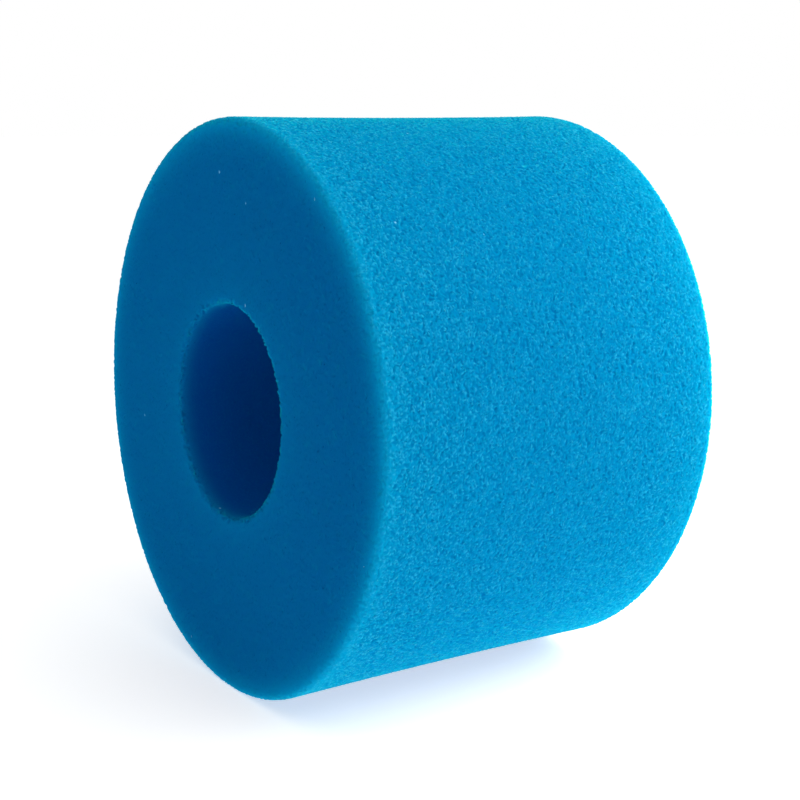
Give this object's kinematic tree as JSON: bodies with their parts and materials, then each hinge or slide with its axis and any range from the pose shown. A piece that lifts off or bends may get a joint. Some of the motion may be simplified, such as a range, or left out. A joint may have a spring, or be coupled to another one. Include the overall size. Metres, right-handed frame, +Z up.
{
  "type": "sponge filter",
  "caption": "Thick-walled cylindrical filter sleeve cut from open-cell foam, with a through bore that slides over a pump's core tube; blue, lying on its side.",
  "frame": {"origin": "on the surface that the sleeve lies on, below the middle of its length", "axes": "Y along the bore, -Y towards the front end face; +Z up, away from the surface; the narrow flat that it rests on faces -Z"},
  "size_m": [0.108, 0.072, 0.1077],
  "materials": {
    "blue_foam": "matt open-cell polyurethane foam, dyed blue right through"
  },
  "bodies": {
    "root": {"foam_sleeve": "blue_foam"}
  },
  "joints": []
}
